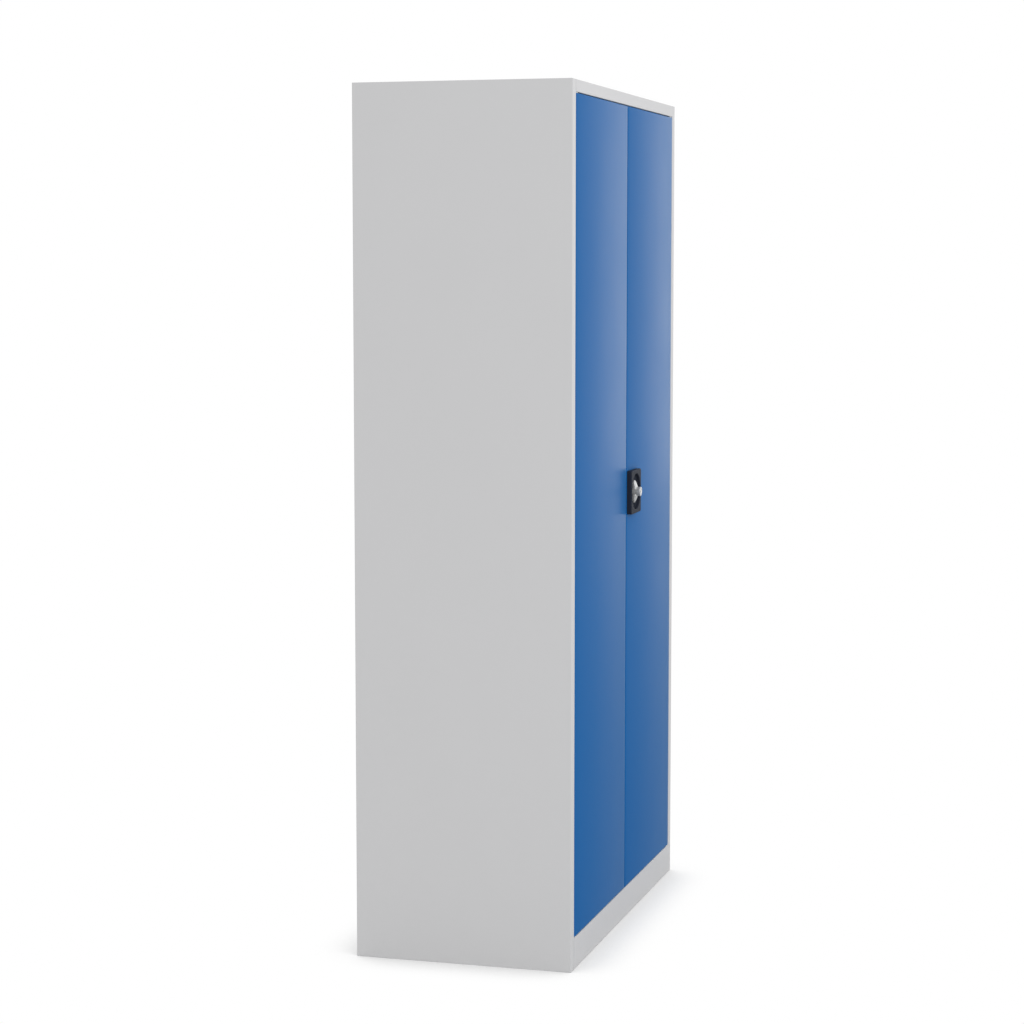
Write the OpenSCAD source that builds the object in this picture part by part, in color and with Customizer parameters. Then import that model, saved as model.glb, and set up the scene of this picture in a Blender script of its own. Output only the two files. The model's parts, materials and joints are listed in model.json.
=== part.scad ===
// Tool cabinet with two doors: welded sheet-steel carcass, four adjustable shelves and
// a handle in the right door that throws two rods and a side hook.
// Millimetres. +X to the right of the closed doors, +Y from the doors to the back, +Z up.
// The origin is on the floor, under the middle of the whole object, handle included.

/* [Cabinet] */
// Overall width
width = 1000; // [900:10:1200]
// Depth from the door faces to the back
depth = 500; // [400:10:600]
// Overall height
height = 1950; // [1850:10:2000]
// Thickness of all folded sheet
sheet = 0.8; // [0.7:0.1:1]
// Inner radius of every fold
bend = 1; // [0.8:0.1:1.4]

/* [Front frame] */
// Visible width of the side stiles
stile = 27; // [25:1:36]
// Visible height of the top rail
top_rail = 27; // [24:1:40]
// Visible height of the plinth
plinth_h = 70; // [60:1:100]
// How far the frame's returns reach back behind the front face
frame_depth = 26; // [26:1:30]
// Width of the flanges at the back and the foot
flange = 18; // [15:1:24]
// Height of the floor panel's edge above the plinth
floor_edge = 14; // [12:1:20]
// How far the plinth's top reaches back
plinth_top = 40; // [36:1:60]
// How far the stop rail hangs below the top of the doors
stop_drop = 16; // [13:1:24]

/* [Doors] */
// Gap between a door and the frame
door_gap = 2; // [2:0.1:3]
// Gap between the two doors
meeting_gap = 3; // [2.5:0.1:4]
// Depth of the door pans
door_depth = 20; // [19:0.5:21]
// Width of the lips round the back of the door pans
door_lip = 12; // [10:1:14]
// Distance of the pivot from the door's hinge edge
pivot_inset = 12; // [11:0.5:14]
// Distance of the pivot behind the door's face
pivot_setback = 6; // [5.8:0.1:6.4]
// Diameter of the pivot pins
pin_d = 6; // [5:0.5:6]
// How far a pin reaches into its door
pin_reach = 12; // [8:1:16]
// Thickness of the plates that back up the pivots
plate_t = 3; // [2:0.5:4]
// Width of the crown of the door stiffeners
door_hat_w = 36; // [30:1:60]
// Depth of the door stiffeners
door_hat_h = 15; // [10:1:17]

/* [Shelves] */
// Height of a shelf's edges
shelf_h = 28; // [22:1:36]
// Distance of the shelf fronts behind the door faces
shelf_setback = 40; // [36:1:60]
// Spacing of the slots that set the shelf heights
slot_pitch = 50; // [40:5:60]
// Width of the slotted uprights
upright_w = 30; // [26:1:40]
// Depth of the slotted uprights, out from the side
upright_t = 15; // [12:1:20]
// Thickness of the shelf clips
clip_t = 1.5; // [1:0.1:2]

/* [Lock] */
// Height of the handle's axis above the floor
lock_z = 1019; // [980:1:1060]
// Distance of the black plate from the middle of the cabinet
plate_inset = 5; // [4:0.5:10]
// Width of the black plate
plate_w = 96; // [94:1:102]
// Height of the black plate
plate_h = 103; // [100:1:120]
// Thickness of the black plate
plate_depth = 12; // [11:0.5:14]
// Diameter of the dish that the handle turns in
dish_d = 84; // [80:1:86]
// Thickness of the dish's floor
dish_floor = 4; // [4:0.1:5]
// How far the handle stands out from the doors
handle_reach = 24; // [23:1:28]
// Length of the handle's wings from tip to tip
wing_l = 54; // [48:1:60]
// Width of the handle's wings
wing_w = 20; // [16:1:22]
// How far the wings stand out from the doors
wing_reach = 14; // [12.5:0.5:16]
// Length of the wings' flat front
wing_front_l = 20; // [18:1:30]
// Diameter of the handle's hub
hub_d = 22; // [21.5:0.5:23]
// Width of the square spindle
spindle_w = 8; // [7:0.5:8]
// Module of the pinion and the racks
tooth_module = 1.5; // [1.5:0.05:1.6]
// Diameter of the lock rods
rod_d = 8; // [7:0.5:9]
// Diameter of the caps on the rod ends
tip_d = 10; // [10:0.5:11]
// Length of the side hook from the handle's axis
hook_l = 63; // [62:1:67]

/* [Fits] */
// Radial clearance of pins and journals that turn
running = 0.05; // [0.03:0.01:0.08]
// Gap between moving parts that don't bear on each other
clear = 0.3; // [0.25:0.05:0.4]

/* [Hidden] */
$fn = 48;
bend_steps = 4;
corner_steps = 6;
// How far a cutting shape runs past the faces that it cuts
over = 1;

// Colours
grey = [0.78, 0.78, 0.785];
blue = [0.14, 0.38, 0.61];
black = [0.13, 0.14, 0.16];
silver = [0.78, 0.8, 0.82];
zinc = [0.66, 0.67, 0.68];
nylon = [0.88, 0.88, 0.85];

// Carcass. Depths are measured back from the door faces.
y_front = (handle_reach - depth) / 2;
half_w = width / 2;
opening_half = half_w - stile;
wall_x = half_w - sheet;
top_under = height - sheet;
rail_under = height - top_rail;
back_skin = depth - sheet;
back_inside = depth - 2 * sheet;
floor_top = plinth_h + floor_edge;
foot_return = 20;
rail_drop = 20;
stop_return = 12;
stop_z = rail_under - door_gap - stop_drop;
// Flat plates keep this far from the inside of a fold
bend_clear = 0.4;
bend_keep = bend + bend_clear;

// Doors
door_low = plinth_h + door_gap;
door_high = rail_under - door_gap;
door_h = door_high - door_low;
door_hinge_x = opening_half - door_gap;
door_free_x = meeting_gap / 2;
door_w = door_hinge_x - door_free_x;
door_mid_x = (door_hinge_x + door_free_x) / 2;
pivot_x = door_hinge_x - pivot_inset;
pin_r = pin_d / 2;
bush_wall = 1.5;
bush_r = pin_r + running + bush_wall;
bush_collar_w = 0.9;
bush_collar_r = bush_r + bush_collar_w;
bush_collar = door_gap - clear;
bush_tail = 1;
pivot_plate_l = 34;
pin_head_w = 2;
pin_head_r = pin_r + pin_head_w;
pin_head_h = 2;
hat_flange = 12;
hat_end = 8;
buffer_r = 5;
buffer_inset = 40;

// Shelves
shelf_count = 4;
shelf_gap = 1;
shelf_play = 2;
shelf_lip = 12;
upright_face = wall_x - upright_t;
shelf_half = upright_face - shelf_gap;
shelf_back = back_inside - shelf_play;
front_inset = 6;
rear_inset = 16;
front_upright = shelf_setback + front_inset;
rear_upright = back_inside - rear_inset - upright_w;
clip_w = 12;
clip_tongue = 13;
clip_drop = 9;
clip_h = 18;
clip_hook = 5;
clip_reach = 3;
slot_h = clip_t + 2 * clear;
slot_w = clip_w + 2 * clear;
slots = floor((top_under - floor_top - shelf_h) / slot_pitch);
floor_hat_w = 60;
floor_hat_h = 30;

// Lock. Heights and widths in the lock are measured from the handle's axis.
lock_x = plate_inset + plate_w / 2;
teeth = 12;
// A quarter turn throws the rods by this many teeth.
throw_teeth = teeth / 4;
// Teeth of a rack that stay in mesh, on each side of the axis
mesh_teeth = 2;
pressure_angle = 20;
tooth_pitch = PI * tooth_module;
pitch_r = teeth * tooth_module / 2;
base_r = pitch_r * cos(pressure_angle);
tip_r = pitch_r + tooth_module;
root_r = pitch_r - 1.25 * tooth_module;
rack_tip = pitch_r - tooth_module * 2 / 3;
rack_root = tip_r + clear;
backlash = 0.3;
rod_r = rod_d / 2;
rack_strip = 0.2;
rod_x = rack_root + rack_strip + rod_r;
rod_depth = 11;
rack_t = 5;
rack_out = rod_x + rod_r;
rack_low = -(throw_teeth + mesh_teeth + 0.5) * tooth_pitch;
rack_high = (mesh_teeth + 0.5) * tooth_pitch;
rod_lap = 10;
upper_end = door_high - sheet / 2 - lock_z;
lower_end = lock_z - door_low - sheet / 2;
// Play of a cap in the holes that it passes, so that the rod finds them when the doors sag
strike_play = 1.5;
tip_hole_r = tip_d / 2 + strike_play;
tip_len = 22;
tip_cover = 6;
tip_nose = 2;
tip_taper = 1.5;
strike_wall = 1.2;
strike_r = tip_hole_r + strike_wall;
strike_collar_w = 1;
strike_collar_h = 1.5;
rod_hole_r = rod_r + clear;
guide_foot = 6;
guide_w = rod_d + 2 * guide_foot;
guide_h = 14;
guide_wall = 2.5;
guide_places = [0.45, 0.85];
// The plate's screws hold in its rim, above and below the dish.
plate_screw_z = (dish_d + plate_h) / 4;
plate_screw_r = 2;
plate_screw_in = 7.5;
plate_screw_head_r = 3.6;
plate_screw_head_h = 2.4;
case_wall = 1.5;
case_room = 2;
case_half_w = rack_out + 2 * clear + case_wall;
case_half_h = plate_screw_z + plate_screw_head_r + case_room / 2 + case_wall;
case_front = sheet;
case_inside = case_front + case_wall;
case_back = rod_depth + rod_r + case_room;
cover_back = case_back + case_wall;
cover_screw_r = 1.5;
cover_screw_in = 5;
cover_screw_head_r = 3;
cover_screw_head_h = 1.5;
hole_end = 0.5;
pillar_r = 3.5;
pillar_gap = 0.5;
pillar_x = rack_out - pillar_r;
pillar_z = case_half_h - case_wall - pillar_gap - pillar_r;
keeper_t = 1.2;
keeper_inset = 0.5;
hook_front = door_depth + keeper_t + 2 * clear;
hook_t = 3;
hook_w = 16;
hook_back = hook_front + hook_t;
hook_boss = 3;
journal_wall = 0.85;
journal_r = spindle_w * sqrt(0.5) + journal_wall;
hub_r = hub_d / 2;
hub_back = 6;
hub_chamfer = 0.8;
pinion_t = 6;
spindle_screw_r = 2;
spindle_screw_l = 9;
spindle_screw_head_h = 2.5;
wing_lift = dish_floor + 2 * clear;
wing_edge = 4;
bezel = 0.8;
barrel_r = 6;
plug_r = 4.6;
plug_offset = 3.2;
lug_l = 9.6;
lug_w = 3;
lug_low = 1.1;
lug_roof = 0.7;
lug_high = dish_floor - lug_roof;
lug_shy = 0.5;
plug_recess = 0.5;
keyway_w = 1.6;
keyway_l = 6.4;
keyway_depth = 12;
plate_round = 6;
plate_chamfer = 2.2;
dish_bevel = 2;

// ---- Placing and shaping helpers ----

// Moves a piece drawn from the door faces back to its place in the object's frame.
module in_place() {
    translate([0, y_front, 0]) children();
}

// Moves a piece drawn round the handle's axis to the lock.
module at_lock() {
    in_place() translate([lock_x, 0, lock_z]) children();
}

// Extrudes an outline seen from the side (depth, height) across the width.
module along_x(x1, x2) {
    translate([x1, 0, 0]) rotate([90, 0, 90]) linear_extrude(x2 - x1) children();
}

// Extrudes an outline seen from the front (width, height) back into the cabinet.
module facing(d1, d2) {
    translate([0, d2, 0]) rotate([90, 0, 0]) linear_extrude(d2 - d1) children();
}

// A round bar that runs back into the cabinet.
module rod_back(r, d1, d2, x = 0, z = 0) {
    translate([x, d1, z]) rotate([-90, 0, 0]) cylinder(r = r, h = d2 - d1);
}

// An upright round bar.
module rod_up(r, z1, z2, x = 0, d = 0) {
    translate([x, d, z1]) cylinder(r = r, h = z2 - z1);
}

// A box given by its corners.
module block(low, high) {
    translate(low) cube(high - low);
}

module both_sides() {
    children();
    mirror([1, 0, 0]) children();
}

function unit(v) = v / norm(v);
function turn(a, b) = a[0] * b[1] - a[1] * b[0];

// The arc that rounds a square corner p between directions a and b. The skin has its own
// radius, and reach is the radius of the face that is drawn.
function bend_arc(p, a, b, skin, reach, order) =
    let (centre = p + skin * (b - a))
    [for (i = order) centre + reach * (a * sin(90 * i / bend_steps) - b * cos(90 * i / bend_steps))];

// The outline of a folded sheet whose skin follows a path of square corners. The sheet lies
// on the right-hand side of the path.
function fold(path) =
    let (
        last = len(path) - 1,
        dirs = [for (i = [0:last - 1]) unit(path[i + 1] - path[i])],
        rights = [for (v = dirs) [v[1], -v[0]]],
        skins = [for (i = [1:last - 1]) bend + (turn(dirs[i - 1], dirs[i]) < 0 ? sheet : 0)],
        inners = [for (i = [1:last - 1]) bend + (turn(dirs[i - 1], dirs[i]) > 0 ? sheet : 0)]
    )
    concat(
        [path[0]],
        [for (i = [1:last - 1])
            each bend_arc(path[i], dirs[i - 1], dirs[i], skins[i - 1], skins[i - 1], [0:bend_steps])],
        [path[last], path[last] + sheet * rights[last - 1]],
        [for (i = [last - 1:-1:1])
            each bend_arc(path[i], dirs[i - 1], dirs[i], skins[i - 1], inners[i - 1], [bend_steps:-1:0])],
        [path[0] + sheet * rights[0]]
    );

// A rectangle with round corners.
function round_box(x1, x2, y1, y2, r) =
    [for (corner = [[x2 - r, y2 - r, 0], [x1 + r, y2 - r, 90], [x1 + r, y1 + r, 180], [x2 - r, y1 + r, 270]])
        for (i = [0:corner_steps])
            [corner[0] + r * cos(corner[2] + 90 * i / corner_steps),
             corner[1] + r * sin(corner[2] + 90 * i / corner_steps)]];

// A top-hat section that stands up from near to far, with a flange on each side.
function hat(mid, crown_w, near, far) = fold([
    [mid - crown_w / 2 - hat_flange, near + sheet],
    [mid - crown_w / 2, near + sheet],
    [mid - crown_w / 2, far],
    [mid + crown_w / 2, far],
    [mid + crown_w / 2, near + sheet],
    [mid + crown_w / 2 + hat_flange, near + sheet]
]);

// A block with folded edges: its top at z 0, its front at y 0.
module pan_block(w, d, h, r) {
    intersection() {
        along_x(-w / 2, w / 2) polygon(round_box(0, d, -h, 0, r));
        facing(0, d) polygon(round_box(-w / 2, w / 2, -h, 0, r));
    }
}

// A sheet pan, open below, with lips turned in round its rim.
module lipped_pan(w, d, h, lip) {
    difference() {
        pan_block(w, d, h, bend + sheet);
        translate([0, sheet, -sheet]) pan_block(w - 2 * sheet, d - 2 * sheet, h - 2 * sheet, bend);
        block([lip - w / 2, lip, -h - over], [w / 2 - lip, d - lip, -h + sheet + over]);
    }
}

// A sheet pan, open below, with plain edges.
module plain_pan(w, d, h) {
    difference() {
        pan_block(w, d, 2 * h, bend + sheet);
        translate([0, sheet, -sheet]) pan_block(w - 2 * sheet, d - 2 * sheet, 2 * h, bend);
        block([-w, -over, -3 * h], [w, d + over, -h]);
    }
}

// ---- Carcass ----

module side_sheet() {
    linear_extrude(top_under) polygon(fold([
        [-opening_half, frame_depth],
        [-opening_half, 0],
        [-half_w, 0],
        [-half_w, depth],
        [flange - half_w, depth]
    ]));
    block([sheet / 2 - half_w, frame_depth, 0], [flange - half_w, depth - 2 * flange, sheet]);
}

module left_side() {
    color(grey) in_place() side_sheet();
}

module right_side() {
    color(grey) in_place() mirror([1, 0, 0]) side_sheet();
}

module back_panel() {
    color(grey) in_place() along_x(bend - wall_x, wall_x - bend) polygon(fold([
        [back_skin, top_under - bend],
        [back_skin, sheet],
        [back_skin - foot_return, sheet]
    ]));
}

// Round holes in the frame's return, for the pivot pins and the strike of a rod.
module frame_holes(z1, z2, strike_x) {
    both_sides() rod_up(pin_r + running, z1, z2, pivot_x, pivot_setback);
    rod_up(strike_r + running, z1, z2, strike_x, rod_depth);
}

module top_panel() {
    color(grey) in_place() difference() {
        along_x(-half_w, half_w) polygon(fold([
            [frame_depth, rail_under],
            [0, rail_under],
            [0, height],
            [depth, height],
            [depth, height - rail_drop]
        ]));
        both_sides() block([opening_half, -over, 0], [half_w + over, depth + over, top_under]);
        frame_holes(rail_under - over, rail_under + sheet + over, lock_x + rod_x);
    }
}

module plinth() {
    color(grey) in_place() difference() {
        along_x(-opening_half, opening_half) polygon(fold([
            [foot_return, 0],
            [0, 0],
            [0, plinth_h],
            [plinth_top, plinth_h]
        ]));
        frame_holes(plinth_h - sheet - over, plinth_h + over, lock_x - rod_x);
    }
}

module floor_panel() {
    color(grey) in_place() translate([0, frame_depth, floor_top])
        plain_pan(2 * wall_x, back_skin - bend - frame_depth, floor_edge);
}

module floor_stiffener() {
    half = wall_x - sheet - bend_keep;
    color(grey) in_place() translate([0, 0, floor_top - sheet]) along_x(-half, half)
        mirror([0, 1, 0]) polygon(hat(depth / 2, floor_hat_w, 0, floor_hat_h));
}

module top_stop_rail() {
    color(grey) in_place() along_x(-opening_half, opening_half) polygon(fold([
        [frame_depth + stop_return, stop_z],
        [frame_depth, stop_z],
        [frame_depth, top_under],
        [frame_depth + rail_drop, top_under]
    ]));
}

// The height of shelf number i, on the slot that is nearest to an even share.
function shelf_z(i) =
    floor_top + slot_pitch * round(i * (top_under - floor_top) / (shelf_count + 1) / slot_pitch);

// The left-hand upright whose front edge lies at depth d.
module upright(d) {
    difference() {
        translate([0, 0, floor_top]) linear_extrude(top_under - floor_top) polygon(fold([
            [-wall_x, d + upright_w],
            [-upright_face, d + upright_w],
            [-upright_face, d],
            [-wall_x, d]
        ]));
        for (i = [1:slots])
            translate([-upright_face, d + upright_w / 2, floor_top + i * slot_pitch - shelf_h - clip_drop])
                cube([3 * sheet, slot_w, slot_h], center = true);
    }
}

module front_left_upright() {
    color(grey) in_place() upright(front_upright);
}

module front_right_upright() {
    color(grey) in_place() mirror([1, 0, 0]) upright(front_upright);
}

module rear_left_upright() {
    color(grey) in_place() upright(rear_upright);
}

module rear_right_upright() {
    color(grey) in_place() mirror([1, 0, 0]) upright(rear_upright);
}

module shelf(i) {
    color(grey) in_place() translate([0, shelf_setback, shelf_z(i)])
        lipped_pan(2 * shelf_half, shelf_back - shelf_setback, shelf_h, shelf_lip);
}

// A clip on the left-hand upright whose front edge lies at depth d: a tongue under the shelf,
// a plate down the upright's face and a hook through its slot.
module clip(d, z) {
    translate([-upright_face, d + upright_w / 2 - clip_w / 2, z - shelf_h]) {
        block([0, 0, -clip_t], [clip_tongue, clip_w, 0]);
        block([0, 0, -clip_h], [clip_t, clip_w, 0]);
        block([-clip_reach, 0, -clip_drop - clip_t / 2], [clip_t, clip_w, -clip_drop + clip_t / 2]);
        block([-clip_reach, 0, -clip_drop - clip_hook], [clip_t - clip_reach, clip_w, -clip_drop]);
    }
}

module shelf_clips(i) {
    color(zinc) in_place() both_sides() {
        clip(front_upright, shelf_z(i));
        clip(rear_upright, shelf_z(i));
    }
}

module frame_pivot_plates() {
    color(zinc) in_place() both_sides() for (z = [rail_under + sheet, plinth_h - sheet - plate_t])
        difference() {
            block([opening_half - pivot_plate_l, sheet + bend_keep, z],
                  [opening_half - bend_keep, frame_depth - bend_keep, z + plate_t]);
            rod_up(pin_r + running, z - over, z + plate_t + over, pivot_x, pivot_setback);
        }
}

// The two pins of the left door. Each has its head on a frame plate and its end in the door.
module pivot_pins() {
    low_head = plinth_h - sheet - plate_t;
    high_head = rail_under + sheet + plate_t;
    rod_up(pin_head_r, low_head - pin_head_h, low_head, -pivot_x, pivot_setback);
    rod_up(pin_r, low_head - pin_head_h, door_low + pin_reach, -pivot_x, pivot_setback);
    rod_up(pin_head_r, high_head, high_head + pin_head_h, -pivot_x, pivot_setback);
    rod_up(pin_r, door_high - pin_reach, high_head + pin_head_h, -pivot_x, pivot_setback);
}

module left_pivot_pins() {
    color(zinc) in_place() pivot_pins();
}

module right_pivot_pins() {
    color(zinc) in_place() mirror([1, 0, 0]) pivot_pins();
}

// A bush in a return that takes a rod end from below. Its collar lies on the return's top.
module strike_bush() {
    difference() {
        union() {
            cylinder(r = strike_r, h = sheet + strike_collar_h);
            translate([0, 0, sheet]) cylinder(r = strike_r + strike_collar_w, h = strike_collar_h);
        }
        translate([0, 0, -over]) cylinder(r = tip_hole_r, h = sheet + strike_collar_h + 2 * over);
    }
}

module strike_bushes() {
    color(black) in_place() {
        translate([lock_x + rod_x, rod_depth, rail_under]) strike_bush();
        translate([lock_x - rod_x, rod_depth, plinth_h]) mirror([0, 0, 1]) strike_bush();
    }
}

module door_buffers() {
    color(black) in_place() both_sides()
        for (x = [door_free_x + buffer_inset, door_hinge_x - buffer_inset], z = [door_low, door_high])
            rod_back(buffer_r, door_depth + clear, frame_depth, x,
                     z + (z == door_low ? 1 : -1) * door_lip / 2);
}

// ---- Doors, drawn on the left ----

module door_pan() {
    translate([-door_mid_x, 0, door_low]) rotate([90, 0, 0])
        lipped_pan(door_w, door_h, door_depth, door_lip);
}

// What the bushes pass through at both ends of a door.
module bush_holes() {
    rod_up(bush_r + running, door_low - over, door_high + over, -pivot_x, pivot_setback);
}

module door_stiffener() {
    translate([0, 0, door_low + door_lip + hat_end]) linear_extrude(door_h - 2 * (door_lip + hat_end))
        polygon(hat(-door_mid_x, door_hat_w, sheet, sheet + door_hat_h));
}

module corner_plates() {
    difference() {
        for (z = [door_low + sheet, door_high - sheet - plate_t])
            block([sheet + bend_keep - door_hinge_x, sheet + bend_keep, z],
                  [pivot_plate_l - door_hinge_x, door_depth - sheet - bend_keep, z + plate_t]);
        bush_holes();
    }
}

// The bushes pass the pan and its plate, with a collar in the gap to the frame.
module pivot_bushes() {
    inner = sheet + plate_t + bush_tail;
    difference() {
        union() {
            rod_up(bush_collar_r, door_low - bush_collar, door_low, -pivot_x, pivot_setback);
            rod_up(bush_r, door_low - bush_collar, door_low + inner, -pivot_x, pivot_setback);
            rod_up(bush_collar_r, door_high, door_high + bush_collar, -pivot_x, pivot_setback);
            rod_up(bush_r, door_high - inner, door_high + bush_collar, -pivot_x, pivot_setback);
        }
        rod_up(pin_r + running, plinth_h, rail_under, -pivot_x, pivot_setback);
    }
}

module left_door_panel() {
    color(blue) in_place() difference() {
        door_pan();
        bush_holes();
    }
}

module left_door_stiffener() {
    color(blue) in_place() door_stiffener();
}

module left_door_corner_plates() {
    color(blue) in_place() corner_plates();
}

module left_door_bushes() {
    color(nylon) in_place() pivot_bushes();
}

// The wear plate that the side hook draws on, on the lip at the left door's free edge.
module left_door_keeper() {
    color(zinc) in_place()
        block([keeper_inset - door_free_x - door_lip, door_depth, lock_z - hook_w],
              [-door_free_x - sheet - bend - keeper_inset, door_depth + keeper_t, lock_z + hook_w]);
}

module right_door_panel() {
    color(blue) in_place() difference() {
        mirror([1, 0, 0]) door_pan();
        mirror([1, 0, 0]) bush_holes();
        rod_up(tip_hole_r, door_high - 2 * sheet, door_high + over, lock_x + rod_x, rod_depth);
        rod_up(tip_hole_r, door_low - over, door_low + 2 * sheet, lock_x - rod_x, rod_depth);
        translate([lock_x, 0, lock_z]) front_holes(-over, 2 * sheet);
    }
}

module right_door_stiffener() {
    color(blue) in_place() mirror([1, 0, 0]) door_stiffener();
}

module right_door_corner_plates() {
    color(blue) in_place() mirror([1, 0, 0]) corner_plates();
}

module right_door_bushes() {
    color(nylon) in_place() mirror([1, 0, 0]) pivot_bushes();
}

// ---- Lock, drawn round the handle's axis ----

// The holes for the hub and for the screws of the black plate.
module front_holes(d1, d2) {
    rod_back(hub_r + clear, d1, d2);
    for (z = [-plate_screw_z, plate_screw_z]) rod_back(plate_screw_r + running, d1, d2, 0, z);
}

// A saddle on the door's inner face that guides a rod.
module rod_guide(x, z) {
    difference() {
        block([x - guide_w / 2, sheet, z - guide_h / 2],
              [x + guide_w / 2, rod_depth + rod_r + guide_wall, z + guide_h / 2]);
        rod_up(rod_hole_r, z - guide_h, z + guide_h, x, rod_depth);
    }
}

module rod_guides() {
    up = door_high - lock_z;
    down = door_low - lock_z;
    color(black) at_lock() {
        for (share = guide_places) {
            rod_guide(rod_x, up * share);
            rod_guide(-rod_x, down * share);
        }
    }
}

module lock_case() {
    color(zinc) at_lock() difference() {
        union() {
            difference() {
                block([-case_half_w, case_front, -case_half_h], [case_half_w, case_back, case_half_h]);
                block([case_wall - case_half_w, case_inside, case_wall - case_half_h],
                      [case_half_w - case_wall, case_back + over, case_half_h - case_wall]);
            }
            rod_back(pillar_r, case_front, case_back, -pillar_x, pillar_z);
            rod_back(pillar_r, case_front, case_back, pillar_x, -pillar_z);
        }
        front_holes(0, case_inside + over);
        rod_up(rod_hole_r, 0, case_half_h + over, rod_x, rod_depth);
        rod_up(rod_hole_r, -case_half_h - over, 0, -rod_x, rod_depth);
        cover_holes(case_back - cover_screw_in - hole_end, case_back + over);
    }
}

// The holes of the screws that hold the cover.
module cover_holes(d1, d2) {
    for (side = [-1, 1])
        rod_back(cover_screw_r + running, d1, d2, side * pillar_x, -side * pillar_z);
}

module lock_cover() {
    color(zinc) at_lock() difference() {
        block([-case_half_w, case_back, -case_half_h], [case_half_w, cover_back, case_half_h]);
        rod_back(journal_r + running, case_back - over, cover_back + over);
        cover_holes(case_back - over, cover_back + over);
    }
}

module cover_screws() {
    head_back = cover_back + cover_screw_head_h;
    color(zinc) at_lock() for (side = [-1, 1]) translate([side * pillar_x, 0, -side * pillar_z]) {
        rod_back(cover_screw_r, case_back - cover_screw_in, cover_back);
        rod_back(cover_screw_head_r, cover_back, head_back);
    }
}

// The pocket that the lug of the key plug turns in, about the plug's own axis.
module lug_pocket(r) {
    rod_back(r, -lug_high - clear, -lug_low + clear, 0, plug_offset);
}

module escutcheon() {
    half = [plate_w / 2, plate_h / 2];
    cut = plate_chamfer;
    color(black) at_lock() difference() {
        intersection() {
            facing(-plate_depth, 0) polygon(round_box(-half[0], half[0], -half[1], half[1], plate_round));
            along_x(-half[0], half[0]) polygon([
                [0, -half[1]], [0, half[1]], [cut - plate_depth, half[1]],
                [-plate_depth, half[1] - cut], [-plate_depth, cut - half[1]], [cut - plate_depth, -half[1]]
            ]);
            translate([0, 0, -half[1]]) linear_extrude(plate_h) polygon([
                [-half[0], 0], [half[0], 0], [half[0], cut - plate_depth],
                [half[0] - cut, -plate_depth], [cut - half[0], -plate_depth], [-half[0], cut - plate_depth]
            ]);
        }
        rod_back(dish_d / 2, -plate_depth - over, -dish_floor);
        translate([0, -plate_depth - over, 0]) rotate([-90, 0, 0])
            cylinder(r1 = dish_d / 2 + dish_bevel + over, r2 = dish_d / 2, h = dish_bevel + over);
        rod_back(hub_r + clear, -plate_depth, over);
        for (angle = [0, -90]) rotate([0, angle, 0]) lug_pocket(lug_l + 2 * clear);
        for (z = [-plate_screw_z, plate_screw_z])
            rod_back(plate_screw_r + running, -plate_screw_in - hole_end, over, 0, z);
    }
}

module escutcheon_screws() {
    color(zinc) at_lock() for (z = [-plate_screw_z, plate_screw_z]) {
        rod_back(plate_screw_r, -plate_screw_in, case_inside, 0, z);
        rod_back(plate_screw_head_r, case_inside, case_inside + plate_screw_head_h, 0, z);
    }
}

module wing_handle() {
    half = wing_l / 2;
    hub_front = handle_reach - bezel;
    color(silver) at_lock() difference() {
        union() {
            rod_back(hub_r, hub_chamfer - hub_front, hub_back);
            translate([0, -hub_front, 0]) rotate([-90, 0, 0])
                cylinder(r1 = hub_r - hub_chamfer, r2 = hub_r, h = hub_chamfer);
            intersection() {
                facing(-wing_reach, -wing_lift) {
                    square([wing_w, wing_l - wing_w], center = true);
                    for (z = [-1, 1]) translate([0, z * (wing_l - wing_w) / 2]) circle(d = wing_w);
                }
                along_x(-wing_w, wing_w) polygon([
                    [-wing_lift, -half], [-wing_lift, half], [-wing_lift - wing_edge, half],
                    [-wing_reach, wing_front_l / 2], [-wing_reach, -wing_front_l / 2],
                    [-wing_lift - wing_edge, -half]
                ]);
            }
        }
        rod_back(barrel_r + running, -handle_reach, -dish_floor, 0, plug_offset);
        rod_back(plug_r + running, -dish_floor - over, -lug_high, 0, plug_offset);
        lug_pocket(lug_l + clear);
        facing(0, hub_back + over) square(spindle_w + 2 * running, center = true);
    }
}

module lock_barrel() {
    color(silver) at_lock() translate([0, 0, plug_offset]) difference() {
        union() {
            rod_back(barrel_r, -handle_reach, -dish_floor - running);
            rod_back(barrel_r + bezel, -handle_reach, bezel - handle_reach);
        }
        rod_back(plug_r + running, -handle_reach - over, 0);
    }
}

module key_plug() {
    front = plug_recess - handle_reach;
    color(silver) at_lock() translate([0, 0, plug_offset]) difference() {
        rod_back(plug_r, front, -lug_high);
        facing(front - over, front + keyway_depth) square([keyway_w, keyway_l], center = true);
    }
}

// The cam at the back of the key plug. Its lug points across the handle at rest.
module plug_cam() {
    color(zinc) at_lock() translate([0, 0, plug_offset]) {
        rod_back(plug_r - lug_shy, -lug_high, -lug_low);
        block([0, -lug_high, -lug_w / 2], [lug_l - lug_w / 2, -lug_low, lug_w / 2]);
        rod_back(lug_w / 2, -lug_high, -lug_low, lug_l - lug_w / 2, 0);
    }
}

module spindle() {
    color(zinc) at_lock() difference() {
        facing(running, hook_back) square(spindle_w, center = true);
        rod_back(spindle_screw_r + running, hook_back - spindle_screw_l - hole_end, hook_back + over);
    }
}

module spindle_screw() {
    color(zinc) at_lock() {
        rod_back(spindle_screw_r, hook_back - spindle_screw_l, hook_back);
        rod_back(journal_r, hook_back, hook_back + spindle_screw_head_h);
    }
}

// The involute angle, in degrees, at pressure angle a.
function involute(a) = tan(a) * 180 / PI - a;

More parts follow.
